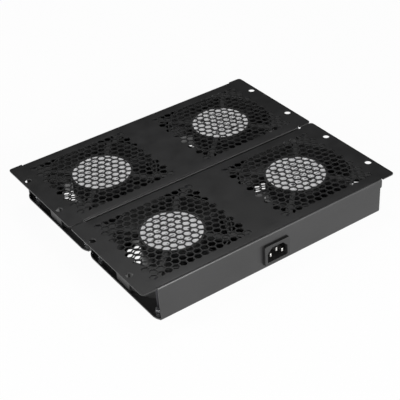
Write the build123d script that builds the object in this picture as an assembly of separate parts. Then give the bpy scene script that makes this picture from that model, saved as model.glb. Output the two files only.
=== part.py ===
from build123d import *
import os
from math import radians, sin, sqrt

# Cabinet fan unit: two sheet-metal modules side by side, each with two axial fans blowing
# up through a perforated lid. Millimetres. X runs along the lids, +Y from the front wall
# with the power inlet to the back, +Z up. The origin is the centre of the unit's underside.

# ---- sheet metal ----
sheet = 1.2
bend_radius = 2.4              # outer radius of every fold
fold_clearance = 0.1           # between a lid's folded edge and the tray wall inside it
overall_height = 41.0

# ---- lids ----
lid_gap = 1.5                  # between the two lids
lid_corner = 3.5               # radius of the four lid corners
lid_flange_height = 10.2       # folded-down long edges, measured from the lid's top
lid_ear = 16.9                 # flat stretch at each end, outside the folded edges
fold_relief = 1.2              # notch beside each end of a fold
ear_hole_radius = 3.5
ear_hole_inset = 6.65          # from the lid's end to the hole's centre
ear_hole_spread = 66.6         # between the two holes of one end

# ---- trays ----
tray_end_inset = 17.5          # from the lid's end to the end of the tray walls
tray_toe = 3.7                 # bottom past the walls at the left end
toe_height = 3.2               # upturned edge of that toe
toe_run = 10.0                 # length along Y of each rounded corner of the toe

# ---- vents ----
cell_pitch = 19.3              # between neighbouring cells of one row
cell_web = 2.1                 # metal left between two cells

# ---- fans ----
fan_square = 119.5
fan_between = 34.5             # free space between the two fans of one module
fan_end_gap = 16.25            # from a fan to the lid's end
fan_side_gap = 3.5             # between a fan and the tray wall
fan_hole_inset = 7.25          # bolt hole's centre from the fan's side
lug_height = 4.5               # of the four corner lugs that take the bolts
lug_rib = 7.0                  # width of the rib from each lug to the barrel
barrel_inset = 1.35            # barrel's outside from the fan's side
barrel_wall = 1.2
barrel_flat = 23.0             # width of the four flat sides of the barrel
bracket_lip = 1.0              # bracket past the hub beneath it
bracket_height = 4.0
strut_width = 5.0
strut_angles = (51.0, 140.0, 226.0, 310.0)   # from the X axis
label_inset = 2.0              # label's edge from the bracket's edge
label_thickness = 0.3
label_recess = 0.4
bearing_radius = 5.5
bearing_width = 4.0
bearing_wall = 2.0             # of the tube that holds the bearings
tube_end_gap = 4.5             # between that tube and the rotor's floor
press_clearance = 0.05         # between inner pieces that are pressed together
shaft_radius = 2.0
shaft_clearance = 0.03         # running clearance in the bearings
shaft_end_gap = 0.3            # between the shaft's end and the bracket

# ---- rotor and impeller ----
hub_radius = 32.0
hub_wall = 1.5
hub_top_gap = 0.6              # between the hub's rim and the bracket
hub_floor_height = 3.5         # hub's underside above the tray bottom
rotor_clearance = 0.1          # between the hub and the steel rotor inside it
rotor_wall = 3.0
rotor_floor = 1.5
rotor_boss_radius = 5.0
rotor_boss_gap = 1.5           # between the boss and the bearing tube above it
rotor_rim_gap = 2.0            # rotor's rim below the hub's rim
air_gap = 0.5                  # between the rotor and the stator
blade_count = 5
blade_tip_gap = 1.4
blade_low_gap = 1.0            # blade's lower edge above the hub's underside
blade_high_gap = 2.5           # blade's upper edge below the hub's rim
blade_overrun = 1.0            # tip section past the bore, before the tip is cut round
blade_root_angle = 52.0        # from the plane of rotation
blade_tip_angle = 36.0
blade_thickness = 1.6
blade_camber = 2.6
impeller_starts = (59.0, 13.0, 66.0, 1.0)   # resting angles, in the order of the fans

# ---- stator ----
stator_gap = 1.0               # stator above the bearing tube's lower end
stator_height = 17.0
stator_core_radius = 12.0
pole_width = 10.0
pole_shoe = 4.0
pole_slot = 12.0               # opening between two pole shoes
coil_bulge = 2.5               # coil past each side of its pole
coil_inset = 2.5               # coil inside the two faces of the stack
coil_shoe_gap = 0.5            # between a coil and the pole shoe

# ---- fan bolts, M4 ----
bolt_radius = 2.0
bolt_head_radius = 3.9
bolt_clearance = 0.05
bolt_tip_gap = 0.3             # below the lid
nut_flats = 7.0
nut_height = 3.2

# ---- power inlet, C14 pattern ----
inlet_x = -1.0
inlet_z = 17.0
bezel_width = 30.5
bezel_height = 23.6
bezel_thickness = 3.5
bezel_corner = 2.0
inlet_body_width = 27.0
inlet_body_height = 20.0
inlet_body_depth = 18.0
inlet_cutout_clearance = 0.2
socket_width = 24.2
socket_height = 16.5
socket_depth = 15.5
socket_corner = 5.6            # chamfer on the two upper corners
pin_width = 2.0
pin_height = 4.0
pin_pitch = 7.0
pin_offset = 2.0               # earth pin above, line pins below the middle
pin_recess = 1.5               # tips behind the bezel's front
pin_chamfer = 0.6
barb_reach = 1.4               # snap barb past the body's side
barb_gap = 0.1                 # between the barb's step and the wall's inner face
barb_length = 5.5
tab_length = 8.0
tab_thickness = 0.8
tab_width = 6.3

# ---- link between the modules ----
link_x = 30.0
link_z = 17.0
link_radius = 2.0
link_head_radius = 3.8
link_head_height = 2.4
link_clearance = 0.2
link_tip = 1.0                 # screw past its nut
spacer_radius = 4.0
bushing_hole_radius = 8.0
bushing_bore_radius = 5.5
bushing_lip = 1.6
bushing_clearance = 0.1

# ---- derived ----
wall_inset = sheet + fold_clearance                        # wall's outer face behind the lid's edge
wall_y = fan_square / 2 + fan_side_gap + sheet             # outer face from the module's middle
lid_depth = 2 * (wall_y + wall_inset)
fan_spacing = fan_square + fan_between                     # between the two fan axes of one module
lid_length = fan_spacing + fan_square + 2 * fan_end_gap
inlet_proud = bezel_thickness - wall_inset                 # bezel in front of the lid's edge
module_pitch = lid_depth + lid_gap
front_y = (inlet_proud - module_pitch) / 2                 # middle of the front module
rear_y = front_y + module_pitch
lid_top = overall_height
lid_under = lid_top - sheet
tray_end_x = lid_length / 2 - tray_end_inset
fan_bottom = sheet
fan_top = lid_under
fan_hole_spread = fan_square - 2 * fan_hole_inset
barrel_radius = fan_square / 2 - barrel_inset
fan_bore_radius = barrel_radius - barrel_wall
bracket_radius = hub_radius + bracket_lip
bracket_under = fan_top - bracket_height
label_radius = bracket_radius - label_inset
hub_bottom = fan_bottom + hub_floor_height
hub_top = bracket_under - hub_top_gap
rotor_radius = hub_radius - hub_wall - rotor_clearance
rotor_bottom = hub_bottom + hub_wall + rotor_clearance
rotor_top = hub_top - rotor_rim_gap
tube_radius = bearing_radius + press_clearance + bearing_wall
tube_bottom = rotor_bottom + rotor_floor + tube_end_gap
stator_radius = rotor_radius - rotor_wall - air_gap
stator_bottom = tube_bottom + stator_gap
tip_radius = fan_bore_radius - blade_tip_gap
blade_bottom = hub_bottom + blade_low_gap
blade_height = hub_top - blade_high_gap - blade_bottom
cell_flats = cell_pitch - cell_web
row_pitch = cell_pitch * sqrt(3) / 2
field_rows = int(fan_square / row_pitch)
field_cells = int(fan_square / cell_pitch)                 # in the longer rows
wall_gap = lid_gap + 2 * wall_inset                        # between the two inner tray walls
pin_places = ((-pin_pitch, -pin_offset), (0, pin_offset), (pin_pitch, -pin_offset))

FANS = {
    "front_left": (-fan_spacing / 2, front_y),
    "front_right": (fan_spacing / 2, front_y),
    "rear_left": (-fan_spacing / 2, rear_y),
    "rear_right": (fan_spacing / 2, rear_y),
}
MODULES = {"front": front_y, "rear": rear_y}


# ---- helpers ----
def cylinder(radius, bottom, top, x=0.0, y=0.0):
    """Upright cylinder between two heights."""
    return Pos(x, y, bottom) * extrude(Circle(radius), amount=top - bottom)


def ring(outer, inner, bottom, top):
    """Upright tube between two heights."""
    return cylinder(outer, bottom, top) - cylinder(inner, bottom, top)


def along_y(shape, y):
    """Turn a shape drawn upright at the origin so that its +Z points along +Y, from y on."""
    return Pos(0, y, 0) * (Rot(-90, 0, 0) * shape)


def corners(spread_x, spread_y):
    """The four corners of a rectangle about the origin."""
    return [(sx * spread_x / 2, sy * spread_y / 2) for sx in (-1, 1) for sy in (-1, 1)]


def cell_centres(rows, cells):
    """Centres of a field of hexagonal cells: every second row is shifted by half a pitch."""
    centres = []
    for row in range(rows):
        count = cells - row % 2
        y = (row - (rows - 1) / 2) * row_pitch
        centres += [((i - (count - 1) / 2) * cell_pitch, y) for i in range(count)]
    return centres


def cell(x, y):
    """One hexagonal cell with its points along Y."""
    return Pos(x, y) * RegularPolygon(cell_flats / 2, 6, major_radius=False, rotation=30)


def folded_channel(length, width, height, open_down):
    """U of sheet metal along X, its web at z 0 .. sheet, or under z 0 when it opens down."""
    outer = Rectangle(width, height, align=(Align.CENTER, Align.MIN))
    inner = Pos(0, sheet) * Rectangle(width - 2 * sheet, height, align=(Align.CENTER, Align.MIN))
    outer = fillet(outer.vertices().sort_by(Axis.Y)[:2], bend_radius)
    inner = fillet(inner.vertices().sort_by(Axis.Y)[:2], bend_radius - sheet)
    section = outer - inner
    if open_down:
        section = mirror(section, about=Plane.XZ)
    return extrude(Plane.YZ * section, amount=length / 2, both=True)


# ---- sheet metal ----
def top_plate():
    """Perforated lid with folded long edges, about the module's middle, top at lid_top."""
    fold_length = lid_length - 2 * lid_ear
    relieved_length = fold_length + 2 * fold_relief
    web_depth = lid_depth - 2 * bend_radius
    outline = fillet(Rectangle(lid_length, lid_depth).vertices(), lid_corner)
    flat = outline - Rectangle(relieved_length, lid_depth) + Rectangle(relieved_length, web_depth)
    cells = []
    for side in (-1, 1):
        centres = cell_centres(field_rows, field_cells)
        cells += [cell(x + side * fan_spacing / 2, y) for x, y in centres]
    holes = [Pos(x, y) * Circle(ear_hole_radius)
             for x, y in corners(lid_length - 2 * ear_hole_inset, ear_hole_spread)]
    folds = folded_channel(fold_length, lid_depth, lid_flange_height, open_down=True)
    folds -= Box(lid_length, web_depth, 2 * sheet)
    plate = extrude(flat - cells - holes, amount=-sheet)
    return Pos(0, 0, lid_top) * (plate + folds)


def lower_tray(name):
    """Folded tray with intake cells under each fan, about the module's middle."""
    tray = folded_channel(2 * tray_end_x, 2 * wall_y, lid_top - bend_radius, open_down=False)
    tray += Pos(-tray_end_x, 0, 0) * folded_toe()
    cells = []
    for side in (-1, 1):
        reach = fan_bore_radius - cell_flats / 2
        centres = cell_centres(field_rows, field_cells)
        cells += [cell(x + side * fan_spacing / 2, y) for x, y in centres if x * x + y * y < reach * reach]
    tray -= extrude(Sketch() + cells, amount=sheet)
    for side in (-1, 1):
        for x, y in corners(fan_hole_spread, fan_hole_spread):
            tray -= Pos(x + side * fan_spacing / 2, y, 0) * countersink(bolt_clearance)
    inner_wall = wall_y - sheet if name == "front" else -wall_y
    holes = [Pos(0, link_z) * Circle(bushing_hole_radius)]
    holes += [Pos(side * link_x, link_z) * Circle(link_radius + link_clearance) for side in (-1, 1)]
    tray -= Pos(0, inner_wall, 0) * extrude(Plane.XZ * (Sketch() + holes), amount=-sheet)
    if name == "front":
        opening = Pos(inlet_x, inlet_z) * Rectangle(
            inlet_body_width + 2 * inlet_cutout_clearance,
            inlet_body_height + 2 * inlet_cutout_clearance,
        )
        tray -= Pos(0, -wall_y, 0) * extrude(Plane.XZ * opening, amount=-sheet)
    return tray


def toe_outline():
    """Plan of the toe from x 0 to the left, rounded from its edge to the walls' ends."""
    edge = Line((-tray_toe, wall_y - toe_run), (-tray_toe, toe_run - wall_y))
    low = TangentArc(edge @ 1, (0, -wall_y), tangent=(0, -1))
    high = TangentArc(edge @ 0, (0, wall_y), tangent=(0, 1))
    return make_face([edge, low, Line(low @ 1, high @ 1), high])


def folded_toe():
    """Bottom sheet past the walls with its edge turned up, running from x 0 to -tray_toe."""
    outer = Rectangle(tray_toe, toe_height, align=(Align.MAX, Align.MIN))
    inner = Pos(0, sheet) * Rectangle(tray_toe - sheet, toe_height, align=(Align.MAX, Align.MIN))
    outer = fillet(outer.vertices().sort_by(Axis.X)[:2].sort_by(Axis.Y)[:1], bend_radius)
    inner = fillet(inner.vertices().sort_by(Axis.X)[:2].sort_by(Axis.Y)[:1], bend_radius - sheet)
    toe = extrude(Plane.XZ * (outer - inner), amount=wall_y - bend_radius, both=True)
    return toe & extrude(toe_outline(), amount=toe_height)


# ---- fan ----
def corner_lugs():
    """Plan of the round lugs at the fan's corners, each joined to the middle by a rib."""
    diagonal = sqrt(2) * fan_hole_spread
    rib = Rectangle(diagonal, lug_rib)
    lugs = (Rot(0, 0, 45) * rib) + (Rot(0, 0, -45) * rib)
    for x, y in corners(fan_hole_spread, fan_hole_spread):
        lugs += Pos(x, y) * Circle(fan_hole_inset)
    for x, y in corners(fan_hole_spread, fan_hole_spread):
        lugs -= Pos(x, y) * Circle(bolt_radius + bolt_clearance)
    return lugs


def fan_frame():
    """Barrel with flat sides, corner lugs, struts and motor bracket with its bearing tube."""
    barrel = Circle(barrel_radius) + Rectangle(fan_square, barrel_flat) + Rectangle(barrel_flat, fan_square)
    bore = Circle(fan_bore_radius)
    frame = Pos(0, 0, fan_bottom) * extrude(barrel - bore, amount=fan_top - fan_bottom)
    frame += Pos(0, 0, fan_top) * extrude(corner_lugs() - bore, amount=-lug_height)
    strut = Rectangle(barrel_radius - barrel_wall / 2, strut_width, align=(Align.MIN, Align.CENTER))
    spokes = Circle(bracket_radius)
    for angle in strut_angles:
        spokes += Rot(0, 0, angle) * strut
    frame += Pos(0, 0, bracket_under) * extrude(spokes, amount=bracket_height)
    frame += cylinder(tube_radius, tube_bottom, bracket_under)
    frame -= cylinder(bearing_radius + press_clearance, tube_bottom, bracket_under)
    frame -= cylinder(label_radius + press_clearance, fan_top - label_recess, fan_top)
    return frame


def hub_label():
    """Round label lying in the bracket's recess."""
    floor = fan_top - label_recess
    return cylinder(label_radius, floor, floor + label_thickness)


def bearings():
    """Two ball bearings, one at each end of the tube."""
    bearing = ring(bearing_radius, shaft_radius + shaft_clearance, 0, bearing_width)
    lower = Pos(0, 0, tube_bottom) * bearing
    upper = Pos(0, 0, bracket_under - bearing_width) * bearing
    return [lower, upper]


def motor_stator():
    """Four-pole stator stack with its windings, pressed on the bearing tube."""
    bore = Circle(tube_radius + press_clearance)
    reach = 2 * stator_radius - pole_shoe
    necks = Rectangle(reach, pole_width) + Rectangle(pole_width, reach)
    shoes = Circle(stator_radius) - Circle(stator_radius - pole_shoe)
    slots = Rectangle(3 * stator_radius, pole_slot / 2)
    shoes -= (Rot(0, 0, 45) * slots) + (Rot(0, 0, -45) * slots)
    core = Circle(stator_core_radius) + necks + shoes - bore
    stack = Pos(0, 0, stator_bottom) * extrude(core, amount=stator_height)
    coil_reach = 2 * (stator_radius - pole_shoe - coil_shoe_gap)
    coil_width = pole_width + 2 * coil_bulge
    coils = Rectangle(coil_reach, coil_width) + Rectangle(coil_width, coil_reach) - bore
    windings = Pos(0, 0, stator_bottom + coil_inset) * extrude(coils, amount=stator_height - 2 * coil_inset)
    return stack + windings


def rotor():
    """Steel rotor cup with its boss and the shaft that runs in the bearings."""
    cup = cylinder(rotor_radius, rotor_bottom, rotor_top)
    cup -= cylinder(rotor_radius - rotor_wall, rotor_bottom + rotor_floor, rotor_top)
    cup += cylinder(rotor_boss_radius, rotor_bottom, tube_bottom - rotor_boss_gap)
    cup += cylinder(shaft_radius, rotor_bottom, bracket_under - shaft_end_gap)
    return cup


def blade_section(radius, angle):
    """Cambered blade section in the upright plane at a radius on the X axis."""
    half = blade_height / 2 / sin(radians(angle))
    skin = blade_thickness / 2
    top = ThreePointArc((-half, skin), (0, blade_camber + 2 * skin), (half, skin))
    low = ThreePointArc((half, -skin), (0, blade_camber), (-half, -skin))
    outline = Wire([top, Line(top @ 1, low @ 0), low, Line(low @ 1, top @ 0)])
    middle = blade_bottom + blade_height / 2
    plane = Plane(origin=(radius, 0, middle), x_dir=(0, 1, 0), z_dir=(1, 0, 0))
    return plane * (Rot(0, 0, angle) * Face(outline))


def impeller():
    """Hub cup with twisted blades; it turns clockwise seen from above and blows upwards."""
    hub = cylinder(hub_radius, hub_bottom, hub_top)
    hub -= cylinder(hub_radius - hub_wall, hub_bottom + hub_wall, hub_top)
    root = blade_section(hub_radius - hub_wall / 2, blade_root_angle)
    tip = blade_section(fan_bore_radius + blade_overrun, blade_tip_angle)
    blade = loft([root, tip], ruled=True) & cylinder(tip_radius, hub_bottom, hub_top)
    for index in range(blade_count):
        hub += Rot(0, 0, index * 360 / blade_count) * blade
    return hub


# ---- fasteners ----
def countersink(clearance):
    """Cone of a bolt head that ends flush with both faces of the sheet, with its shank hole."""
    return Pos(0, 0, sheet / 2) * Cone(bolt_head_radius + clearance, bolt_radius + clearance, sheet)


def fan_bolt():
    """Countersunk bolt from the tray's underside to the tapped hole of the fan's lug."""
    return countersink(0) + cylinder(bolt_radius, sheet, fan_top - bolt_tip_gap)


def nut(flats, height, bore):
    """Hexagon nut standing on z 0."""
    return extrude(RegularPolygon(flats / 2, 6, major_radius=False) - Circle(bore), amount=height)


def bolt_nut():
    """Locking nut of a fan bolt, on the tray's bottom."""
    return Pos(0, 0, sheet) * nut(nut_flats, nut_height, bolt_radius + bolt_clearance)


# ---- power inlet ----
def socket_outline():
    """Mouth of the inlet: a rectangle with its two upper corners cut off."""
    mouth = Rectangle(socket_width, socket_height)
    return chamfer(mouth.vertices().sort_by(Axis.Y)[-2:], socket_corner)


def inlet_body():
    """Snap-in inlet: bezel in front of the wall, body behind it, socket open to the front."""
    bezel = fillet(Rectangle(bezel_width, bezel_height).vertices(), bezel_corner)
    front = extrude(bezel, amount=bezel_thickness)
    body = extrude(Rectangle(inlet_body_width, inlet_body_height), amount=-inlet_body_depth)
    socket = Pos(0, 0, bezel_thickness) * extrude(socket_outline(), amount=-socket_depth)
    step = -sheet - barb_gap
    barb = Polyline((0, step), (0, step - barb_length), (barb_reach, step), close=True)
    barbs = []
    for side in (-1, 1):
        wedge = extrude(Plane.XZ * make_face(barb), amount=inlet_body_height / 4, both=True)
        wedge = wedge if side > 0 else mirror(wedge, about=Plane.YZ)
        barbs.append(Pos(side * inlet_body_width / 2, 0, 0) * wedge)
    slots = [Pos(x, y, -inlet_body_depth) * extrude(
        Rectangle(pin_width + 2 * press_clearance, pin_height + 2 * press_clearance),
        amount=inlet_body_depth) for x, y in pin_places]
    return front + body + barbs - socket - slots


def inlet_pins():
    """Three blades in the socket, each with a connection tab behind the body."""
    tip = bezel_thickness - pin_recess
    back = -inlet_body_depth
    pins = []
    for x, y in pin_places:
        blade = Pos(x, y, back) * extrude(Rectangle(pin_width, pin_height), amount=tip - back)
        blade = chamfer(blade.faces().sort_by(Axis.Z)[-1].edges(), pin_chamfer)
        tab = Pos(x, y, back) * extrude(Rectangle(tab_thickness, tab_width), amount=-tab_length)
        pins.append(blade + tab)
    return pins


def place_inlet(shape):
    """From the inlet's own frame, mouth towards +Z, to the front wall's outer face."""
    return Pos(inlet_x, front_y - wall_y, inlet_z) * (Rot(90, 0, 0) * shape)


# ---- link between the modules ----
def link_screw():
    """Pan-head screw through both inner walls, its head inside the front module."""
    length = wall_gap + 2 * sheet + nut_height + link_tip
    head = Pos(0, 0, -link_head_height) * extrude(Circle(link_head_radius), amount=link_head_height)
    head = chamfer(head.faces().sort_by(Axis.Z)[0].edges(), link_head_height / 3)
    return head + cylinder(link_radius, 0, length)


def link_bushing():
    """Soft sleeve for the fan leads through both inner walls, with a lip on each side."""
    length = wall_gap + 2 * sheet
    body = cylinder(bushing_hole_radius - bushing_clearance, -bushing_lip, length + bushing_lip)
    lip = cylinder(bushing_hole_radius + bushing_lip, -bushing_lip, 0)
    lip += cylinder(bushing_hole_radius + bushing_lip, length, length + bushing_lip)
    return body + lip - cylinder(bushing_bore_radius, -bushing_lip, length + bushing_lip)


# ---- assembly ----
def export(name, shapes):
    """Write one node's solids to its own file."""
    shapes = shapes if isinstance(shapes, list) else [shapes]
    solids = [solid for shape in shapes for solid in shape.solids()]
    part = solids[0] if len(solids) == 1 else Compound(children=solids)
    part.label = name
    export_step(part, f"parts/{name}.step")


def main():
    """Build every piece and write its file."""
    os.makedirs("parts", exist_ok=True)
    plate = top_plate()
    for name, y in MODULES.items():
        export(f"{name}_top_plate", Pos(0, y, 0) * plate)
        export(f"{name}_lower_tray", Pos(0, y, 0) * lower_tray(name))

    frame, stator, spinner, blades = fan_frame(), motor_stator(), rotor(), impeller()
    for (name, (x, y)), start in zip(FANS.items(), impeller_starts):
        place = Pos(x, y, 0)
        export(f"{name}_fan_frame", place * frame)
        export(f"{name}_motor_stator", place * stator)
        export(f"{name}_hub_label", place * hub_label())
        export(f"{name}_rotor", place * spinner)
        export(f"{name}_impeller", place * (Rot(0, 0, start) * blades))

    for name, y in MODULES.items():
        spots = [Pos(x + side * fan_spacing / 2, y + dy, 0)
                 for side in (-1, 1) for x, dy in corners(fan_hole_spread, fan_hole_spread)]
        export(f"{name}_fan_bolts", [spot * fan_bolt() for spot in spots])
        export(f"{name}_bolt_nuts", [spot * bolt_nut() for spot in spots])
        hubs = [Pos(side * fan_spacing / 2, y, 0) for side in (-1, 1)]
        export(f"{name}_bearings", [hub * bearing for hub in hubs for bearing in bearings()])

    export("inlet_body", place_inlet(inlet_body()))
    export("inlet_pins", [place_inlet(pin) for pin in inlet_pins()])

    wall_face = front_y + wall_y - sheet
    for_link = [Pos(side * link_x, 0, link_z) for side in (-1, 1)]
    screw = along_y(link_screw(), wall_face)
    spacer = along_y(ring(spacer_radius, link_radius + link_clearance, 0, wall_gap), wall_face + sheet)
    link_nut = nut(nut_flats, nut_height, link_radius + bolt_clearance)
    back_nut = along_y(link_nut, wall_face + wall_gap + 2 * sheet)
    export("link_screws", [spot * screw for spot in for_link])
    export("link_spacers", [spot * spacer for spot in for_link])
    export("link_nuts", [spot * back_nut for spot in for_link])
    export("link_bushing", Pos(0, 0, link_z) * along_y(link_bushing(), wall_face))


main()
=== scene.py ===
"""Looks of a cabinet fan unit: two sheet-metal modules with axial fans under perforated lids.

Sheet parts are cut as flat blanks, folded and thickened, as they are in the workshop.
Sizes of the unit's pieces, the lens and the sensor are in millimetres. The rest of the
studio, the finishes and everything that is placed in the scene are in metres.
"""

import logging
import math
from collections.abc import Callable, Iterable, Sequence
from dataclasses import dataclass, field
from enum import Enum

import bmesh
import bpy
from mathutils import Matrix, Vector
from mathutils.geometry import delaunay_2d_cdt


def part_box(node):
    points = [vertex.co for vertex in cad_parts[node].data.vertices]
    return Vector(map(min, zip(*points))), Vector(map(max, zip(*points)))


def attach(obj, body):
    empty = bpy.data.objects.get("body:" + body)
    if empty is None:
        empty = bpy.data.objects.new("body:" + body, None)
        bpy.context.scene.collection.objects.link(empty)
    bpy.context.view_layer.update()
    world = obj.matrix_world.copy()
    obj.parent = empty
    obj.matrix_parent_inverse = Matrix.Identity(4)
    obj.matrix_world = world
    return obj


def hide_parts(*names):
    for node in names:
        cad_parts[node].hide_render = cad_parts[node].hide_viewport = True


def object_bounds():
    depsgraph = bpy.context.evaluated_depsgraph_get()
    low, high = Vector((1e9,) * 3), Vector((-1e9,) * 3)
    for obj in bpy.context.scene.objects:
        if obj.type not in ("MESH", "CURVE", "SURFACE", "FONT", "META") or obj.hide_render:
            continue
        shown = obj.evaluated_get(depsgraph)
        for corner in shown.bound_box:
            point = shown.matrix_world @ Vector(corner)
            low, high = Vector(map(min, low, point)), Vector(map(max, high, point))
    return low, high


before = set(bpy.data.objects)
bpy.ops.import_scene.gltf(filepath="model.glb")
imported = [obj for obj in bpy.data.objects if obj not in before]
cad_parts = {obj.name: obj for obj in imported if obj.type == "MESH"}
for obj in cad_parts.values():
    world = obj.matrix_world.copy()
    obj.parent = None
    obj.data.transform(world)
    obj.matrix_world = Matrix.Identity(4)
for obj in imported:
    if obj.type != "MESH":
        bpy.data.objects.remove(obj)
CAD_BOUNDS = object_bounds()

logging.basicConfig(level=logging.INFO, format="%(message)s")
log = logging.getLogger("fan_unit")

MM = 0.001
HOUSING = "housing"
CUT_TOLERANCE = 1e-5  # millimetres
SHEET_WELD = 2e-6  # metres
NODE_WELD = 1e-6  # metres
Point = tuple[float, float]
Loop = list[Point]
Patch = tuple[list[Vector], list[list[int]]]
Material = bpy.types.Material
Socket = bpy.types.NodeSocket


class Module(Enum):
    """The two sheet-metal modules, by the prefix of their pieces."""

    FRONT = "front"
    REAR = "rear"


class Fan(Enum):
    """The four fans, by the prefix of their pieces."""

    FRONT_LEFT = "front_left"
    FRONT_RIGHT = "front_right"
    REAR_LEFT = "rear_left"
    REAR_RIGHT = "rear_right"

    @property
    def on_right(self) -> bool:
        """Whether the fan is one of the two on the right."""
        return self.value.endswith("right")


# ---------------------------------------------------------------- finishes


class Shader:
    """Small wrapper that builds one material's node tree."""

    def __init__(self, name: str) -> None:
        """Start an empty material with a Principled shader.

        Args:
            name: the material's name.
        """
        self.material = bpy.data.materials.new(name)
        self.material.use_nodes = True
        self.tree = self.material.node_tree
        self.surface = self.tree.nodes["Principled BSDF"]
        self.place = self.tree.nodes.new("ShaderNodeTexCoord")

    def node(self, kind: str, **settings: object) -> bpy.types.Node:
        """Add a node.

        Args:
            kind: the node's type name.
            settings: attributes to set on it.

        Returns:
            The new node.
        """
        made = self.tree.nodes.new(kind)
        for key, value in settings.items():
            setattr(made, key, value)
        return made

    def link(self, out: Socket, into: Socket) -> None:
        """Join two sockets."""
        self.tree.links.new(out, into)

    def set(self, **values: object) -> None:
        """Set plain values on the Principled shader, underscores standing for spaces."""
        for key, value in values.items():
            self.surface.inputs[key.replace("_", " ")].default_value = value

    def noise(self, scale: float, detail: float = 3.0, roughness: float = 0.5) -> Socket:
        """Noise over the object's own coordinates.

        Args:
            scale: cells per metre.
            detail: octaves.
            roughness: share of each finer octave.

        Returns:
            The noise value's socket.
        """
        made = self.node("ShaderNodeTexNoise")
        made.inputs["Scale"].default_value = scale
        made.inputs["Detail"].default_value = detail
        made.inputs["Roughness"].default_value = roughness
        self.link(self.place.outputs["Object"], made.inputs["Vector"])
        return made.outputs["Fac"]

    def tint(
        self,
        source: Socket,
        dark: Sequence[float],
        light: Sequence[float],
        low: float = 0.3,
        high: float = 0.7,
    ) -> None:
        """Colour the surface between two tones.

        Args:
            source: the value's socket.
            dark: RGB colour up to the low end of the value.
            light: RGB colour from the high end of the value.
            low: the low end.
            high: the high end.
        """
        made = self.node("ShaderNodeValToRGB")
        for element, position, colour in zip(made.color_ramp.elements, (low, high), (dark, light)):
            element.position = position
            element.color = (*colour, 1.0)
        self.link(source, made.inputs["Fac"])
        self.link(made.outputs["Color"], self.surface.inputs["Base Color"])

    def gloss(self, source: Socket, low: float, high: float) -> None:
        """Vary the roughness.

        Args:
            source: the value's socket.
            low: roughness at 0.3 of the value.
            high: roughness at 0.7 of the value.
        """
        made = self.node("ShaderNodeMapRange")
        made.inputs["From Min"].default_value = 0.3
        made.inputs["From Max"].default_value = 0.7
        made.inputs["To Min"].default_value = low
        made.inputs["To Max"].default_value = high
        self.link(source, made.inputs["Value"])
        self.link(made.outputs["Result"], self.surface.inputs["Roughness"])

    def bump(self, height: Socket, depth: float, strength: float = 1.0) -> None:
        """Bump the surface.

        Args:
            height: the height value's socket.
            depth: height of the relief in metres.
            strength: share of the relief that shows.
        """
        made = self.node("ShaderNodeBump")
        made.inputs["Distance"].default_value = depth
        made.inputs["Strength"].default_value = strength
        self.link(height, made.inputs["Height"])
        self.link(made.outputs["Normal"], self.surface.inputs["Normal"])


@dataclass(frozen=True)
class PowderCoat:
    """Baked black powder coat: satin, with a fine pebbled skin."""

    name: str = "black_powder_coat"
    dark: float = 0.0085
    light: float = 0.0125
    blue_tint: float = 1.04
    cloud: float = 14.0
    gloss_low: float = 0.36
    gloss_high: float = 0.46
    gloss_cloud: float = 60.0
    specular: float = 0.55
    pebble: float = 900.0
    relief: float = 0.00004

    def build(self) -> Material:
        """Build the material.

        Returns:
            The material.
        """
        shader = Shader(self.name)
        light = [self.light, self.light, self.light * self.blue_tint]
        shader.tint(shader.noise(self.cloud, 4.0), [self.dark] * 3, light)
        shader.gloss(shader.noise(self.gloss_cloud, 5.0), self.gloss_low, self.gloss_high)
        shader.set(Specular_IOR_Level=self.specular)
        shader.bump(shader.noise(self.pebble, 2.0, 0.6), self.relief, 0.5)
        return shader.material


@dataclass(frozen=True)
class CastPaint:
    """Black paint on die-cast aluminium, with a slightly grainy skin."""

    name: str = "black_cast_paint"
    colour: float = 0.02
    cloud: float = 40.0
    gloss_low: float = 0.42
    gloss_high: float = 0.58
    gloss_cloud: float = 90.0
    grain: float = 1400.0
    relief: float = 0.00008

    def build(self) -> Material:
        """Build the material.

        Returns:
            The material.
        """
        shader = Shader(self.name)
        shader.tint(shader.noise(self.cloud), [self.colour * 0.8] * 3, [self.colour * 1.25] * 3)
        shader.gloss(shader.noise(self.gloss_cloud), self.gloss_low, self.gloss_high)
        shader.bump(shader.noise(self.grain, 4.0, 0.7), self.relief, 0.6)
        return shader.material


@dataclass(frozen=True)
class Moulded:
    """Moulded plastic or rubber with a faint mould texture."""

    name: str
    colour: tuple[float, float, float]
    gloss: float = 0.45
    grain: float = 1800.0
    relief: float = 0.00002
    cloud: float = 55.0
    gloss_cloud: float = 120.0

    def build(self) -> Material:
        """Build the material.

        Returns:
            The material.
        """
        shader = Shader(self.name)
        shader.tint(shader.noise(self.cloud), [channel * 0.85 for channel in self.colour], self.colour)
        shader.gloss(shader.noise(self.gloss_cloud), self.gloss - 0.05, self.gloss + 0.07)
        shader.bump(shader.noise(self.grain, 3.0), self.relief, 0.5)
        return shader.material


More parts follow.
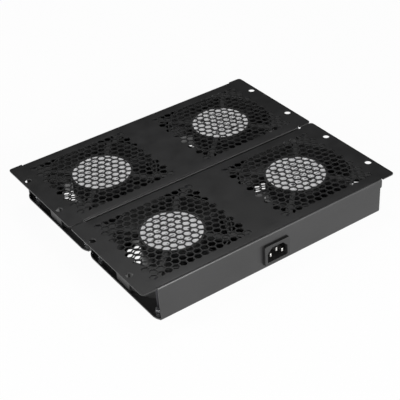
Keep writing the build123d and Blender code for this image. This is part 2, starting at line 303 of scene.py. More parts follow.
@dataclass(frozen=True)
class Metal:
    """Bare or plated metal with fine brushed variation."""

    name: str
    colour: tuple[float, float, float]
    gloss: float = 0.3
    stretch: float = 12.0
    brush: float = 500.0
    relief: float = 0.00001

    def build(self) -> Material:
        """Build the material.

        Returns:
            The material.
        """
        shader = Shader(self.name)
        mapping = shader.node("ShaderNodeMapping")
        mapping.inputs["Scale"].default_value = (1.0, 1.0, self.stretch)
        shader.link(shader.place.outputs["Object"], mapping.inputs["Vector"])
        lines = shader.node("ShaderNodeTexNoise")
        lines.inputs["Scale"].default_value = self.brush
        lines.inputs["Detail"].default_value = 4.0
        shader.link(mapping.outputs["Vector"], lines.inputs["Vector"])
        value = lines.outputs["Fac"]
        shader.tint(value, [channel * 0.8 for channel in self.colour], self.colour)
        shader.gloss(value, self.gloss - 0.06, self.gloss + 0.1)
        shader.set(Metallic=1.0)
        shader.bump(value, self.relief, 0.4)
        return shader.material


@dataclass(frozen=True)
class Film:
    """Printed polyester film of a label, or the ink on it."""

    name: str
    colour: tuple[float, float, float]
    gloss: float = 0.35
    cloud: float = 70.0
    gloss_cloud: float = 150.0
    wave: float = 220.0
    relief: float = 0.00002

    def build(self) -> Material:
        """Build the material.

        Returns:
            The material.
        """
        shader = Shader(self.name)
        dim = [channel * 0.93 for channel in self.colour]
        shader.tint(shader.noise(self.cloud, 4.0), dim, self.colour, 0.35, 0.65)
        shader.gloss(shader.noise(self.gloss_cloud), self.gloss - 0.05, self.gloss + 0.08)
        shader.bump(shader.noise(self.wave, 2.0), self.relief, 0.35)
        return shader.material


def built(finish: PowderCoat | CastPaint | Moulded | Metal | Film) -> Material:
    """Palette field whose value is the finish's material, built with the palette."""
    return field(default_factory=finish.build)


@dataclass
class Palette:
    """Every finish of the unit, built once."""

    coat: Material = built(PowderCoat())
    cast: Material = built(CastPaint())
    impeller: Material = built(Moulded("impeller_plastic", (0.018, 0.018, 0.019), 0.4))
    inlet: Material = built(Moulded("inlet_plastic", (0.007, 0.007, 0.007), 0.5))
    rubber: Material = built(Moulded("bushing_rubber", (0.015, 0.015, 0.015), 0.7, 900.0, 0.00005))
    pins: Material = built(Metal("nickel_plate", (0.78, 0.77, 0.74), 0.28))
    zinc: Material = built(Metal("zinc_plate", (0.62, 0.63, 0.65), 0.38))
    black_zinc: Material = built(Metal("black_zinc", (0.045, 0.045, 0.05), 0.42))
    steel: Material = built(Metal("turned_steel", (0.5, 0.5, 0.51), 0.34))
    winding: Material = built(Metal("varnished_copper", (0.62, 0.28, 0.14), 0.4))
    label: Material = built(Film("label_film", (0.9, 0.9, 0.91)))
    ink: Material = built(Film("label_ink", (0.05, 0.05, 0.055), 0.5))


# ---------------------------------------------------------------- flat outlines


def arc_points(centre: Point, radius: float, start: float, end: float, steps: int) -> Loop:
    """Points on an arc.

    Args:
        centre: the arc's centre.
        radius: its radius.
        start: first angle in degrees.
        end: last angle in degrees.
        steps: stretches between the points.

    Returns:
        The points, both ends included.
    """
    angles = [math.radians(start + (end - start) * i / steps) for i in range(steps + 1)]
    return [(centre[0] + radius * math.cos(a), centre[1] + radius * math.sin(a)) for a in angles]


def circle(centre: Point, radius: float, steps: int = 32) -> Loop:
    """Closed circle of a number of points."""
    return arc_points(centre, radius, 0.0, 360.0, steps)[:-1]


def rounded(corners: Sequence[Point], radii: Sequence[float], steps: int = 4) -> Loop:
    """Polygon with rounded corners.

    Args:
        corners: the sharp corners in order.
        radii: one radius for each corner; 0 keeps it sharp.
        steps: stretches in each rounded corner.

    Returns:
        The closed outline's points.
    """
    loop: Loop = []
    count = len(corners)
    for index, (corner, radius) in enumerate(zip(corners, radii)):
        if radius <= 0:
            loop.append(corner)
            continue
        here = Vector(corner)
        back = (Vector(corners[index - 1]) - here).normalized()
        ahead = (Vector(corners[(index + 1) % count]) - here).normalized()
        half = back.angle(ahead) / 2
        centre = here + (back + ahead).normalized() * (radius / math.sin(half))
        first = here + back * (radius / math.tan(half)) - centre
        last = here + ahead * (radius / math.tan(half)) - centre
        start = math.atan2(first.y, first.x)
        turn = (math.atan2(last.y, last.x) - start + math.pi) % math.tau - math.pi
        loop += arc_points(centre[:], radius, math.degrees(start), math.degrees(start + turn), steps)
    return loop


def rectangle(low: Point, high: Point, radius: float = 0.0) -> Loop:
    """Rectangle between two corners, with one corner radius."""
    corners = [(low[0], low[1]), (high[0], low[1]), (high[0], high[1]), (low[0], high[1])]
    return rounded(corners, [radius] * 4)


def four_corners(centre: Point, half_x: float, half_y: float) -> list[Point]:
    """Corners of a rectangle about a centre, from its half sizes."""
    return [(centre[0] + sx * half_x, centre[1] + sy * half_y) for sx in (-1, 1) for sy in (-1, 1)]


def hexagon(centre: Point, flats: float, corner: float) -> Loop:
    """Hexagonal cell with its points along the second axis.

    Args:
        centre: the cell's centre.
        flats: width across its flats.
        corner: radius of its corners.

    Returns:
        The closed outline's points.
    """
    reach = flats / math.sqrt(3)
    corners = [
        (centre[0] + reach * math.cos(math.radians(a)), centre[1] + reach * math.sin(math.radians(a)))
        for a in range(30, 390, 60)
    ]
    return rounded(corners, [corner] * 6, 2)


# ---------------------------------------------------------------- meshes


def linked(name: str, data: bpy.types.ID) -> bpy.types.Object:
    """Put a mesh, a lamp or a camera into the scene.

    Args:
        name: the object's name.
        data: what it shows.

    Returns:
        The new object.
    """
    made = bpy.data.objects.new(name, data)
    bpy.context.scene.collection.objects.link(made)
    return made


def finished_mesh(made: bpy.types.Object) -> bpy.types.Object:
    """Apply an object's modifiers to its mesh.

    Args:
        made: the object.

    Returns:
        The same object, with the evaluated mesh.
    """
    bpy.context.view_layer.update()
    graph = bpy.context.evaluated_depsgraph_get()
    mesh = bpy.data.meshes.new_from_object(made.evaluated_get(graph), depsgraph=graph)
    made.modifiers.clear()
    made.data = mesh
    return made


def soften(made: bpy.types.Object, width: float, segments: int = 2, limit: float = 35.0) -> None:
    """Round an object's sharp edges with a modifier.

    Args:
        made: the object.
        width: width of the rounding in metres.
        segments: faces across it.
        limit: smallest angle, in degrees, that counts as sharp.
    """
    bevel = made.modifiers.new("edges", "BEVEL")
    bevel.width = width
    bevel.segments = segments
    bevel.limit_method = "ANGLE"
    bevel.angle_limit = math.radians(limit)
    bevel.harden_normals = True
    bevel.miter_outer = "MITER_ARC"


@dataclass
class Blank:
    """Flat sheet in millimetres, cut from an outline with holes, then folded and thickened.

    The outline and holes are loops of points. Fold lines are kept as edges, so that the
    sheet bends along them.
    """

    outline: Loop
    holes: list[Loop] = field(default_factory=list)
    fold_lines: list[tuple[Point, Point]] = field(default_factory=list)
    patches: list[Patch] = field(default_factory=list)

    def cut(self) -> tuple[list[Point], list[list[int]]]:
        """Cut the sheet.

        Returns:
            The points and the triangles of the sheet that is left.
        """
        points: list[Vector] = []
        loops: list[list[int]] = []
        for loop in [self.outline, *self.holes]:
            loops.append(list(range(len(points), len(points) + len(loop))))
            points += [Vector(p) for p in loop]
        lines = []
        for first, last in self.fold_lines:
            lines.append((len(points), len(points) + 1))
            points += [Vector(first), Vector(last)]
        found = delaunay_2d_cdt(points, lines, loops, 0, CUT_TOLERANCE, True)
        corners, triangles, sources = found[0], found[2], found[5]
        kept = [list(t) for t, source in zip(triangles, sources) if source == [0]]
        return [(p.x, p.y) for p in corners], kept

    def shape(
        self,
        name: str,
        fold: Callable[[float, float], Sequence[float]],
        thickness: float,
        edge: float = 0.2,
        segments: int = 2,
        flip: bool = False,
    ) -> bpy.types.Object:
        """Fold and thicken the sheet.

        Args:
            name: the piece's name.
            fold: gives the place in metres of a point of the flat sheet.
            thickness: sheet thickness in millimetres, away from the drawn face.
            edge: width of the rounding along cut edges, in millimetres.
            segments: faces across that rounding.
            flip: whether the drawn face looks the other way.

        Returns:
            The new object, its mesh final.
        """
        points, triangles = self.cut()
        mesh = bpy.data.meshes.new(name)
        faces = [t[::-1] for t in triangles] if flip else triangles
        places = [Vector(fold(x, s)) for x, s in points]
        for corners, patch_faces in self.patches:
            faces += [[index + len(places) for index in face] for face in patch_faces]
            places += [corner * MM for corner in corners]
        mesh.from_pydata(places, [], faces)
        sheet = bmesh.new()
        sheet.from_mesh(mesh)
        loose = [v for v in sheet.verts if not v.link_faces]
        bmesh.ops.delete(sheet, geom=loose, context="VERTS")
        bmesh.ops.remove_doubles(sheet, verts=sheet.verts, dist=SHEET_WELD)
        sheet.to_mesh(mesh)
        sheet.free()
        mesh.polygons.foreach_set("use_smooth", [True] * len(mesh.polygons))
        made = linked(name, mesh)
        solid = made.modifiers.new("thickness", "SOLIDIFY")
        solid.thickness = thickness * MM
        solid.offset = -1.0
        solid.use_even_offset = True
        soften(made, edge * MM, segments)
        return finished_mesh(made)


def slab(
    name: str,
    outline: Loop,
    holes: list[Loop],
    thickness: float,
    place: Matrix,
    edge: float = 0.3,
    segments: int = 2,
) -> bpy.types.Object:
    """Flat solid from an outline, its drawn face at z 0 of its own frame and looking up.

    Args:
        name: the piece's name.
        outline: outer loop in millimetres.
        holes: inner loops.
        thickness: in millimetres, downwards.
        place: from the piece's own frame, in metres, to the scene.
        edge: width of the edge rounding in millimetres.
        segments: faces across it.

    Returns:
        The new object.
    """
    return Blank(outline, holes).shape(
        name, lambda x, y: place @ Vector((x * MM, y * MM, 0.0)), thickness, edge, segments
    )


def flat_boxes(
    name: str, boxes: Sequence[tuple[Point, Point]], thickness: float, place: Matrix
) -> bpy.types.Object:
    """Thin boxes in one mesh, their tops at z 0 of its own frame.

    Args:
        name: the piece's name.
        boxes: low and high corner of each box, in millimetres.
        thickness: in millimetres, downwards.
        place: from the piece's own frame, in metres, to the scene.

    Returns:
        The new object.
    """
    mesh = bpy.data.meshes.new(name)
    shape = bmesh.new()
    for (x0, y0), (x1, y1) in boxes:
        middle = Vector(((x0 + x1) / 2, (y0 + y1) / 2, -thickness / 2)) * MM
        size = Matrix.Diagonal(((x1 - x0) * MM, (y1 - y0) * MM, thickness * MM, 1.0))
        bmesh.ops.create_cube(shape, size=1.0, matrix=place @ Matrix.Translation(middle) @ size)
    shape.to_mesh(mesh)
    shape.free()
    return linked(name, mesh)


def join(pieces: Sequence[bpy.types.Object], name: str) -> bpy.types.Object:
    """Join several objects into one mesh.

    Args:
        pieces: the objects; the first one stays.
        name: the joined piece's name.

    Returns:
        The joined object.
    """
    with bpy.context.temp_override(active_object=pieces[0], selected_editable_objects=list(pieces)):
        bpy.ops.object.join()
    pieces[0].name = name
    return pieces[0]


def dress(
    made: bpy.types.Object, finish: Material, body: str, nodes: Iterable[str] = ()
) -> bpy.types.Object:
    """Give a piece its finish, its body and the nodes that it stands for.

    Args:
        made: the piece.
        finish: its material.
        body: the body that it rides on.
        nodes: nodes that the piece replaces.

    Returns:
        The piece.
    """
    if not made.data.materials:
        made.data.materials.append(finish)
    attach(made, body)
    for node in nodes:
        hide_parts(node)
    log.info("%s: %d faces", made.name, len(made.data.polygons))
    return made


def finish_node(node: str, finish: Material, edge: float) -> None:
    """Give a kept node its finish, and soft edges where they show.

    Args:
        node: the node's name.
        finish: the material.
        edge: width of its edge rounding in millimetres, or 0 for none.
    """
    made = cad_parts[node]
    made.data.materials.clear()
    made.data.materials.append(finish)
    if edge > 0:
        weld = made.modifiers.new("weld", "WELD")
        weld.merge_threshold = NODE_WELD
        soften(made, edge * MM)
    log.info("%s: finished", node)


def box_mm(node: str) -> tuple[Vector, Vector]:
    """Lowest and highest corner of a node, in millimetres."""
    low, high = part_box(node)
    return low / MM, high / MM


# ---------------------------------------------------------------- sheet metal


@dataclass(frozen=True)
class Perforation:
    """Field of hexagonal cells over one fan."""

    pitch: float = 8.27
    flats: float = 7.3
    corner: float = 0.45
    rows: int = 15
    cells: int = 14

    def centres(self) -> list[Point]:
        """Cell centres about the fan's axis, every second row shifted by half a pitch.

        Returns:
            The centres, row by row.
        """
        found: list[Point] = []
        for row in range(self.rows):
            count = self.cells - row % 2
            y = (row - (self.rows - 1) / 2) * self.pitch * math.sqrt(3) / 2
            found += [((i - (count - 1) / 2) * self.pitch, y) for i in range(count)]
        return found

    def loops(self, middle: Point, reach: float = math.inf) -> list[Loop]:
        """Cell outlines about a middle.

        Args:
            middle: the fan's axis.
            reach: how far from it a cell's centre may lie.

        Returns:
            One outline for each cell.
        """
        return [
            hexagon((middle[0] + x, middle[1] + y), self.flats, self.corner)
            for x, y in self.centres()
            if math.hypot(x, y) < reach
        ]


@dataclass
class FoldedSheet:
    """Sheet part of one module, bent along its two long sides."""

    module: Module
    perforation: Perforation = field(default_factory=Perforation)
    sheet: float = 1.2
    bend: float = 2.4
    bend_steps: int = 6
    edge: float = 0.3

    def measure(self, node: str) -> None:
        """Take the part's place and reach from its node.

        Args:
            node: the node's name without the module's.
        """
        self.low, self.high = box_mm(f"{self.module.value}_{node}")
        self.half_depth = (self.high.y - self.low.y) / 2
        self.middle_y = (self.high.y + self.low.y) / 2
        self.flat = self.half_depth - self.bend
        self.arc = self.bend * math.pi / 2

    def fold_lines(self, low: float, high: float) -> list[tuple[Point, Point]]:
        """Lines in both bends, between two places along the blank."""
        depths = [self.flat + self.arc * i / self.bend_steps for i in range(self.bend_steps + 1)]
        return [((low, side * s), (high, side * s)) for s in depths for side in (-1, 1)]

    def section(self, s: float) -> Point:
        """Section of the folded sheet: flat part, bend and side.

        Args:
            s: distance across the blank, from its middle.

        Returns:
            Distance from the middle, and distance from the flat part's face.
        """
        if s <= self.flat:
            return s, 0.0
        if s > self.flat + self.arc:
            return self.half_depth, self.bend + (s - self.flat - self.arc)
        angle = (s - self.flat) / self.bend
        return self.flat + self.bend * math.sin(angle), self.bend * (1 - math.cos(angle))


@dataclass
class TopPlate(FoldedSheet):
    """Perforated lid of one module, its long edges folded down outside the tray."""

    flange: float = 10.2
    ear: float = 16.9
    relief: float = 1.2
    corner: float = 3.5
    flange_corner: float = 1.5
    notch_corner: float = 0.4
    hole_radius: float = 3.5
    hole_inset: float = 6.65
    hole_spread: float = 66.6

    def __post_init__(self) -> None:
        """Take the lid's place and reach from its node."""
        self.measure("top_plate")
        self.half_length = (self.high.x - self.low.x) / 2
        self.reach = self.flat + self.arc + self.flange - self.bend

    def outline(self) -> Loop:
        """Blank's outline: the folded edges reach past the ears, with a relief beside them.

        Returns:
            The closed outline's points.
        """
        end, fold = self.half_length, self.half_length - self.ear
        notch, ear, deep = fold + self.relief, self.half_depth, self.reach
        quarter = [
            ((end, ear), self.corner),
            ((notch, ear), 0.0),
            ((notch, self.flat), self.notch_corner),
            ((fold, self.flat), self.notch_corner),
            ((fold, deep), self.flange_corner),
        ]
        corners = quarter[:]
        corners += [((-x, y), r) for (x, y), r in reversed(quarter)]
        corners += [((-x, -y), r) for (x, y), r in quarter]
        corners += [((x, -y), r) for (x, y), r in reversed(quarter)]
        return rounded([c for c, _ in corners], [r for _, r in corners])

    def fold(self, x: float, s: float) -> Vector:
        """Place of a blank point: the edges go down, and the ears beside them stay flat.

        Args:
            x: distance along the blank.
            s: distance across it.

        Returns:
            The point's place in metres.
        """
        in_ear = abs(x) > self.half_length - self.ear + self.relief / 2
        y, drop = (abs(s), 0.0) if in_ear else self.section(abs(s))
        return Vector((x, self.middle_y + math.copysign(y, s), self.high.z - drop)) * MM

    def build(self, fan_x: Sequence[float]) -> bpy.types.Object:
        """Cut and fold the lid.

        Args:
            fan_x: the fan axes along the length.

        Returns:
            The lid.
        """
        holes: list[Loop] = []
        for x in fan_x:
            holes += self.perforation.loops((x, 0.0))
        ends = four_corners((0.0, 0.0), self.half_length - self.hole_inset, self.hole_spread / 2)
        holes += [circle(place, self.hole_radius) for place in ends]
        fold = self.half_length - self.ear
        blank = Blank(self.outline(), holes, self.fold_lines(-fold, fold))
        return blank.shape(f"{self.module.value}_lid_panel", self.fold, self.sheet, self.edge)

    def dress(self, made: bpy.types.Object, palette: Palette) -> None:
        """Coat the lid and let it stand for its node."""
        node = f"{self.module.value}_top_plate"
        dress(made, palette.coat, HOUSING, [node])


@dataclass
class LowerTray(FoldedSheet):
    """Folded tray of one module with intake cells, a turned-up toe and wall openings."""

    toe: float = 3.7
    toe_height: float = 3.2
    toe_run: float = 10.0
    toe_steps: int = 8
    intake_reach: float = 53.5
    bolt_spread: float = 105.0
    bolt_head: float = 3.95
    link_z: float = 17.0
    link_x: float = 30.0
    link_radius: float = 2.2
    bushing_radius: float = 8.0
    inlet_clearance: float = 0.2
    inlet_corner: float = 0.5
    wall_corner: float = 1.0
    link_steps: int = 16
    bolt_steps: int = 24

    def __post_init__(self) -> None:
        """Take the tray's place and reach from its node."""
        self.measure("lower_tray")
        self.left = self.low.x + self.toe
        self.right = self.high.x
        self.wall_top = self.wall_depth(self.high.z)

    def wall_depth(self, z: float) -> float:
        """Distance across the blank of a point of a wall at a height."""
        return self.flat + self.arc + z - self.low.z - self.bend

    def outline(self) -> Loop:
        """Blank's outline without the toe, which is added as patches.

        Returns:
            The closed outline's points.
        """
        top, lip = self.wall_top, self.wall_depth(self.low.z + self.toe_height)
        depths = [top, lip, self.flat, -self.flat, -lip, -top]
        corners = [(self.right, -top), (self.right, top), *((self.left, depth) for depth in depths)]
        return rounded(corners, [self.wall_corner] * 3 + [0.0] * 4 + [self.wall_corner])

    def fold(self, x: float, s: float) -> Vector:
        """Place of a blank point: the walls go up from the bottom.

        Args:
            x: distance along the blank.
            s: distance across it.

        Returns:
            The point's place in metres.
        """
        y, rise = self.section(abs(s))
        return Vector((x, self.middle_y + math.copysign(y, s), self.low.z + rise)) * MM

    def toe_path(self, inset: float) -> Loop:
        """Line round the toe, from the rear wall's end to the front wall's.

        Args:
            inset: distance inside the toe's outer face.

        Returns:
            The line's points.
        """
        radius = (self.toe_run**2 + self.toe**2) / (2 * self.toe)
        start = self.half_depth - self.toe_run
        widest = math.degrees(math.acos((radius - self.toe) / (radius - inset)))
        first = 180.0 - widest * (1 - 1 / self.toe_steps)
        rear = [(self.left, self.half_depth - inset)]
        rear += arc_points((self.low.x + radius, start), radius - inset, first, 180.0, self.toe_steps - 1)
        return [(x, self.middle_y + y) for x, y in rear] + [(x, self.middle_y - y) for x, y in reversed(rear)]

    def toe_patches(self) -> list[Patch]:
        """Bottom of the toe and its turned-up rim.

        Returns:
            The two patches.
        """
        floor = Blank(self.toe_path(self.bend))
        points, triangles = floor.cut()
        bottom = ([Vector((x, y, self.low.z)) for x, y in points], [t[::-1] for t in triangles])
        rings = []
        for step in range(self.bend_steps + 1):
            angle = math.pi / 2 * step / self.bend_steps
            inset, z = self.bend * (1 - math.sin(angle)), self.bend * (1 - math.cos(angle))
            rings.append([Vector((x, y, self.low.z + z)) for x, y in self.toe_path(inset)])
        rings.append([Vector((x, y, self.low.z + self.toe_height)) for x, y in self.toe_path(0.0)])
        across = len(rings[0])
        faces = [
            [k * across + c, k * across + c + 1, (k + 1) * across + c + 1, (k + 1) * across + c]
            for k in range(len(rings) - 1)
            for c in range(across - 1)
        ]
        return [bottom, ([corner for ring in rings for corner in ring], faces)]

    def wall_holes(self) -> list[Loop]:
        """Openings in the walls: link holes in the inner one, the inlet's in the front one.

        Returns:
            One outline for each opening.
        """
        inner = 1.0 if self.module is Module.FRONT else -1.0
        depth = inner * self.wall_depth(self.link_z)
        holes = [circle((0.0, depth), self.bushing_radius)]
        for side in (-1, 1):
            holes.append(circle((side * self.link_x, depth), self.link_radius, self.link_steps))
        if self.module is Module.FRONT:
            low, high = box_mm("inlet_body")
            gap, inset = self.inlet_clearance, PowerInlet.bezel_overlap
            bottom = -self.wall_depth(low.z + inset - gap)
            top = -self.wall_depth(high.z - inset + gap)
            margin = PowerInlet.bezel_side - gap
            holes.append(rectangle((low.x + margin, top), (high.x - margin, bottom), self.inlet_corner))
        return holes

    def build(self, fan_x: Sequence[float]) -> bpy.types.Object:
        """Cut and fold the tray.

        Args:
            fan_x: the fan axes along the length.

        Returns:
            The tray.
        """
        holes = self.wall_holes()
        half = self.bolt_spread / 2
        for x in fan_x:
            holes += self.perforation.loops((x, 0.0), self.intake_reach)
            bolts = four_corners((x, 0.0), half, half)
            holes += [circle(place, self.bolt_head, self.bolt_steps) for place in bolts]
        fold_lines = self.fold_lines(self.left, self.right)
        blank = Blank(self.outline(), holes, fold_lines, self.toe_patches())
        return blank.shape(f"{self.module.value}_tray_panel", self.fold, self.sheet, self.edge, flip=True)

    def dress(self, made: bpy.types.Object, palette: Palette) -> None:
        """Coat the tray and let it stand for its node."""
        node = f"{self.module.value}_lower_tray"
        dress(made, palette.coat, HOUSING, [node])


# ---------------------------------------------------------------- inlet


@dataclass
class PowerInlet:
    """Snap-in mains inlet: bezel, body with its socket, and three blades."""

    bezel_thickness: float = 3.5
    bezel_corner: float = 2.0
    socket_width: float = 24.2
    socket_height: float = 16.5
    socket_corner: float = 5.6
    socket_depth: float = 15.5
    mouth_corner: float = 0.8
    bezel_side: float = 1.75
    bezel_overlap: float = 1.8
    bezel_edge: float = 0.7
    body_corner: float = 1.0
    body_edge: float = 0.05
    pin_edge: float = 0.3

    def __post_init__(self) -> None:
        """Take the inlet's place from its node."""
        self.low, self.high = box_mm("inlet_body")
        self.middle = (self.low + self.high) / 2

    def frame_at(self, y: float) -> Matrix:
        """Own frame with X to the right, Y up and Z towards the front, at a depth in mm."""
        turn = Matrix.Rotation(math.radians(90.0), 4, "X")
        return Matrix.Translation(Vector((self.middle.x, y, self.middle.z)) * MM) @ turn

    def mouth(self) -> Loop:
        """Socket's outline: a rectangle with its two upper corners cut off.

        Returns:
            The closed outline's points, in millimetres.
        """
        x, y, cut = self.socket_width / 2, self.socket_height / 2, self.socket_corner
        corners = [(-x, -y), (x, -y), (x, y - cut), (x - cut, y), (cut - x, y), (-x, y - cut)]
        return rounded(corners, [self.mouth_corner] * 6, 3)

    def build(self) -> bpy.types.Object:
        """Build the bezel and the body as nested shells around the socket.

        Returns:
            The inlet's body.
        """
        half_x = (self.high.x - self.low.x) / 2
        half_y = (self.high.z - self.low.z) / 2
        bezel = rectangle((-half_x, -half_y), (half_x, half_y), self.bezel_corner)
        body_x, body_y = half_x - self.bezel_side, half_y - self.bezel_overlap
        body = rectangle((-body_x, -body_y), (body_x, body_y), self.body_corner)
        back = self.high.y - self.low.y
        front = slab(
            "inlet_bezel", bezel, [self.mouth()], self.bezel_thickness,
            self.frame_at(self.low.y), self.bezel_edge, 3,
        )
        walls = slab(
            "inlet_walls", body, [self.mouth()], self.socket_depth - self.bezel_thickness,
            self.frame_at(self.low.y + self.bezel_thickness), self.body_edge, 1,
        )
        floor = slab(
            "inlet_floor", body, [], back - self.socket_depth,
            self.frame_at(self.low.y + self.socket_depth), self.body_edge, 1,
        )
        return join([front, walls, floor], "inlet_housing")

    def dress(self, made: bpy.types.Object, palette: Palette) -> None:
        """Let the plastic body stand for its node, and plate the blades."""
        dress(made, palette.inlet, HOUSING, ["inlet_body"])
        finish_node("inlet_pins", palette.pins, self.pin_edge)


# ---------------------------------------------------------------- fans


@dataclass
class HubLabel:
    """Round film label on a fan's motor bracket, with plain printed bars and no words."""

    fan: Fan
    thickness: float = 0.2
    margin: float = 0.2
    edge: float = 0.05
    steps: int = 96
    ink_height: float = 0.03
    ink_share: float = 0.9
    dash_height: float = 1.1
    widths: tuple[float, ...] = (3.4, 1.6, 4.8, 2.4, 1.2, 5.6, 2.0)
    gaps: tuple[float, ...] = (1.3, 2.6, 0.9, 3.4, 1.7)
    rows: tuple[tuple[float, float, float], ...] = (
        (23.0, -8.0, 9.0), (18.5, -12.0, 4.0), (13.5, -20.0, 9.0), (7.5, -22.0, 10.0), (5.0, -20.0, 6.0),
        (-1.0, -24.0, 12.0), (-6.5, -21.0, 9.0), (-9.5, -18.0, 8.0), (-15.0, -16.0, 6.0), (-21.0, -9.0, 8.0),
    )
    mark: float = 3.4
    marks: tuple[Point, ...] = ((15.0, 14.0), (15.5, 6.3), (15.0, -8.6), (14.5, -15.2), (-4.0, 18.2))

    def __post_init__(self) -> None:
        """Take the label's place from its node."""
        self.low, self.high = box_mm(f"{self.fan.value}_hub_label")
        self.middle = (self.low + self.high) / 2
        self.radius = (self.high.x - self.low.x) / 2

    def dashes(self) -> list[tuple[Point, Point]]:
        """Plain dashes in rows: stand-ins for print, with nothing to read.

        Returns:
            Low and high corner of each dash and mark, in millimetres.
        """
        found: list[tuple[Point, Point]] = []
        for row, (y, low, high) in enumerate(self.rows):
            x, step = low, row
            bottom, top = y - self.dash_height / 2, y + self.dash_height / 2
            while x < high:
                width = self.widths[step % len(self.widths)]
                found.append(((x, bottom), (min(x + width, high), top)))
                x += width + self.gaps[step % len(self.gaps)]
                step += 1
        half = self.mark / 2
        found += [((x - half, y - half), (x + half, y + half)) for x, y in self.marks]
        return found

    def build(self, palette: Palette) -> bpy.types.Object:
        """Build the disc with its ink.

        Args:
            palette: the finishes.

        Returns:
            The label.
        """
        turn = Matrix.Rotation(math.pi if self.fan.on_right else 0.0, 4, "Z")
        centre = Vector((self.middle.x, self.middle.y, 0.0))
        top = self.high.z - self.ink_height
        place = Matrix.Translation((centre + Vector((0, 0, top))) * MM) @ turn
        rim = circle((0, 0), self.radius - self.margin, self.steps)
        disc = slab(f"{self.fan.value}_film", rim, [], self.thickness, place, self.edge, 1)
        disc.data.materials.append(palette.label)
        above = Matrix.Translation((centre + Vector((0, 0, self.high.z))) * MM) @ turn
        ink = flat_boxes("ink", self.dashes(), self.ink_height * self.ink_share, above)
        ink.data.materials.append(palette.ink)
        return join([disc, ink], f"{self.fan.value}_printed_label")

    def dress(self, made: bpy.types.Object, palette: Palette) -> None:
        """Let the label, which has its film and ink already, stand for its node."""
        dress(made, palette.label, HOUSING, [f"{self.fan.value}_hub_label"])


@dataclass
class SideFlange:
    """Thin flange of a fan's casting along its outer side, between the bolt lugs."""

    fan: Fan
    thickness: float = 4.4
    inner_radius: float = 58.4
    half_width: float = 45.5
    clearance: float = 0.05
    edge: float = 0.3
    steps: int = 24

    def __post_init__(self) -> None:
        """Take the flange's place from the fan's frame."""
        self.low, self.high = box_mm(f"{self.fan.value}_fan_frame")
        self.middle = (self.low + self.high) / 2
        self.reach = (self.high.x - self.low.x) / 2 - self.clearance

    def build(self) -> bpy.types.Object:
        """Build the flange just under the frame's top face.

        Returns:
            The flange.
        """
        opening = math.degrees(math.asin(self.half_width / self.inner_radius))
        arc = arc_points((0.0, 0.0), self.inner_radius, opening, -opening, self.steps)
        outline = [(self.reach, -self.half_width), (self.reach, self.half_width), *arc]
        top = (self.high.z - self.clearance) * MM
        place = Matrix.Translation((self.middle.x * MM, self.middle.y * MM, top))
        turn = Matrix.Rotation(0.0 if self.fan.on_right else math.pi, 4, "Z")
        return slab(f"{self.fan.value}_side_flange", outline, [], self.thickness, place @ turn, self.edge)

    def dress(self, made: bpy.types.Object, palette: Palette) -> None:
        """Paint the flange like the rest of the casting."""
        dress(made, palette.cast, HOUSING)


@dataclass
class FanDress:
    """Finishes of one fan's pieces, which keep the shape of their nodes."""

    fan: Fan
    casting_edge: float = 0.35
    impeller_edge: float = 0.3

    def dress(self, palette: Palette) -> None:
        """Finish the frame, the impeller and the inner pieces.

        Args:
            palette: the finishes.
        """
        name = self.fan.value
        finish_node(f"{name}_fan_frame", palette.cast, self.casting_edge)
        finish_node(f"{name}_impeller", palette.impeller, self.impeller_edge)
        finish_node(f"{name}_rotor", palette.steel, 0.0)
        finish_node(f"{name}_motor_stator", palette.winding, 0.0)


# ---------------------------------------------------------------- hardware


@dataclass
class ModuleHardware:
    """Bearings, bolts and nuts of one module's fans, which keep the shape of their nodes."""

    module: Module
    nut_edge: float = 0.25

    def dress(self, palette: Palette) -> None:
        """Finish the three pieces.

        Args:
            palette: the finishes.
        """
        name = self.module.value
        finish_node(f"{name}_bearings", palette.steel, 0.0)
        finish_node(f"{name}_fan_bolts", palette.black_zinc, 0.0)
        finish_node(f"{name}_bolt_nuts", palette.zinc, self.nut_edge)


@dataclass
class LinkHardware:
    """Screws, nuts, spacers and cable bushing between the modules."""

    metal_edge: float = 0.2
    bushing_edge: float = 0.4

    def dress(self, palette: Palette) -> None:
        """Finish the four pieces, which keep the shape of their nodes.

        Args:
            palette: the finishes.
        """
        for node in ("link_screws", "link_nuts", "link_spacers"):
            finish_node(node, palette.zinc, self.metal_edge)
        finish_node("link_bushing", palette.rubber, self.bushing_edge)


# ---------------------------------------------------------------- studio


@dataclass(frozen=True)
class Lamp:
    """Square soft lamp: its place and aim, its edge in metres and its power in watts."""

    name: str
    place: tuple[float, float, float]
    aim: tuple[float, float, float]
    size: float
    power: float

    def hang(self) -> None:
        """Hang the lamp."""
        data = bpy.data.lights.new(self.name, "AREA")
        data.size = self.size
        data.energy = self.power
        turn = (Vector(self.aim) - Vector(self.place)).to_track_quat("-Z", "Y").to_matrix().to_4x4()
        linked(self.name, data).matrix_world = Matrix.Translation(self.place) @ turn


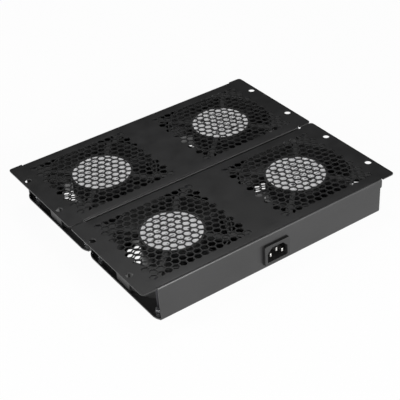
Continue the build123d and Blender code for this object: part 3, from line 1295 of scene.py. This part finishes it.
@dataclass
class Studio:
    """Pale floor, soft lamps and the camera."""

    camera_place: tuple[float, float, float] = (-0.48691, -0.75753, 0.63688)
    azimuth: float = 0.58378
    elevation: float = -0.65551
    roll: float = -0.06307
    lens: float = 93.21
    shift: tuple[float, float] = (-0.03455, 0.11174)
    sensor: float = 36.0
    nearest: float = 0.05
    floor_size: float = 12.0
    floor_drop: float = 0.0002
    floor_tone: float = 0.8
    floor_roughness: float = 0.9
    floor_glow: float = 0.95
    world_level: float = 0.01
    lamps: tuple[Lamp, ...] = (
        Lamp("high", (0.35, 0.65, 1.5), (0.0, 0.0, 0.0), 0.5, 6.2),
        Lamp("front", (0.2, -1.9, 0.45), (0.0, 0.0, 0.02), 1.0, 62.5),
        Lamp("left", (-1.6, -0.2, 0.6), (0.0, 0.0, 0.03), 1.0, 8.5),
        Lamp("low_left", (-1.8, -0.6, 0.25), (0.0, 0.0, 0.0), 0.6, 22.0),
        Lamp("right", (1.3, -1.2, 0.8), (0.0, 0.0, 0.03), 1.0, 6.4),
        Lamp("edge", (-1.05, 0.95, 0.75), (-0.1, 0.0, 0.0), 0.7, 9.0),
    )

    def camera(self) -> None:
        """Place the camera."""
        data = bpy.data.cameras.new("camera")
        data.lens = self.lens
        data.sensor_width = self.sensor
        data.shift_x, data.shift_y = self.shift
        data.clip_start = self.nearest
        ahead = Vector((
            math.sin(self.azimuth) * math.cos(self.elevation),
            math.cos(self.azimuth) * math.cos(self.elevation),
            math.sin(self.elevation),
        ))
        right = ahead.cross(Vector((0, 0, 1))).normalized()
        up = right.cross(ahead)
        tilted = math.cos(self.roll) * right + math.sin(self.roll) * up
        upward = -math.sin(self.roll) * right + math.cos(self.roll) * up
        turn = Matrix((tilted, upward, -ahead)).transposed().to_4x4()
        made = linked("camera", data)
        made.matrix_world = Matrix.Translation(self.camera_place) @ turn
        bpy.context.scene.camera = made

    def floor(self) -> None:
        """Lay the pale floor, which reads as white and still takes a soft shadow."""
        mesh = bpy.data.meshes.new("floor")
        half = self.floor_size / 2
        z = CAD_BOUNDS[0][2] - self.floor_drop
        corners = [(-half, -half, z), (half, -half, z), (half, half, z), (-half, half, z)]
        mesh.from_pydata(corners, [], [(0, 1, 2, 3)])
        made = linked("floor", mesh)
        shader = Shader("floor_paper")
        tone = self.floor_tone
        shader.set(Base_Color=(tone, tone, tone, 1.0), Roughness=self.floor_roughness)
        rays = shader.node("ShaderNodeLightPath")
        seen = shader.node("ShaderNodeMath", operation="MAXIMUM")
        shader.link(rays.outputs["Is Camera Ray"], seen.inputs[0])
        shader.link(rays.outputs["Is Glossy Ray"], seen.inputs[1])
        share = shader.node("ShaderNodeMath", operation="MULTIPLY")
        share.inputs[1].default_value = self.floor_glow
        shader.link(seen.outputs[0], share.inputs[0])
        white = shader.node("ShaderNodeEmission")
        white.inputs["Color"].default_value = (1.0, 1.0, 1.0, 1.0)
        mix = shader.node("ShaderNodeMixShader")
        shader.link(share.outputs[0], mix.inputs["Fac"])
        shader.link(shader.surface.outputs[0], mix.inputs[1])
        shader.link(white.outputs[0], mix.inputs[2])
        shader.link(mix.outputs[0], shader.tree.nodes["Material Output"].inputs["Surface"])
        mesh.materials.append(shader.material)

    def light(self) -> None:
        """Set the lamps and the world."""
        for lamp in self.lamps:
            lamp.hang()
        world = bpy.data.worlds.new("studio")
        world.use_nodes = True
        ground = world.node_tree.nodes["Background"]
        ground.inputs["Color"].default_value = (1.0, 1.0, 1.0, 1.0)
        rays = world.node_tree.nodes.new("ShaderNodeLightPath")
        level = world.node_tree.nodes.new("ShaderNodeMath")
        level.operation = "MAXIMUM"
        level.inputs[1].default_value = self.world_level
        world.node_tree.links.new(rays.outputs["Is Camera Ray"], level.inputs[0])
        world.node_tree.links.new(level.outputs[0], ground.inputs["Strength"])
        bpy.context.scene.world = world

    def build(self) -> None:
        """Build the studio."""
        self.camera()
        self.floor()
        self.light()
        bpy.context.scene.view_settings.view_transform = "Standard"


# ---------------------------------------------------------------- assembly


def fan_axes() -> list[float]:
    """Places of the fan axes along the length, from the middles of the labels.

    Returns:
        The places in millimetres, the left fans' first.
    """
    middles: set[float] = set()
    for fan in Fan:
        low, high = box_mm(f"{fan.value}_hub_label")
        middles.add(round((low.x + high.x) / 2, 3))
    return sorted(middles)


def main() -> None:
    """Build every piece in order."""
    palette = Palette()
    axes = fan_axes()
    for module in Module:
        lid = TopPlate(module)
        lid.dress(lid.build(axes), palette)
        tray = LowerTray(module)
        tray.dress(tray.build(axes), palette)
        ModuleHardware(module).dress(palette)
    for fan in Fan:
        FanDress(fan).dress(palette)
        label = HubLabel(fan)
        label.dress(label.build(palette), palette)
        flange = SideFlange(fan)
        flange.dress(flange.build(), palette)
    inlet = PowerInlet()
    inlet.dress(inlet.build(), palette)
    LinkHardware().dress(palette)
    Studio().build()


if __name__ == "__main__":
    main()
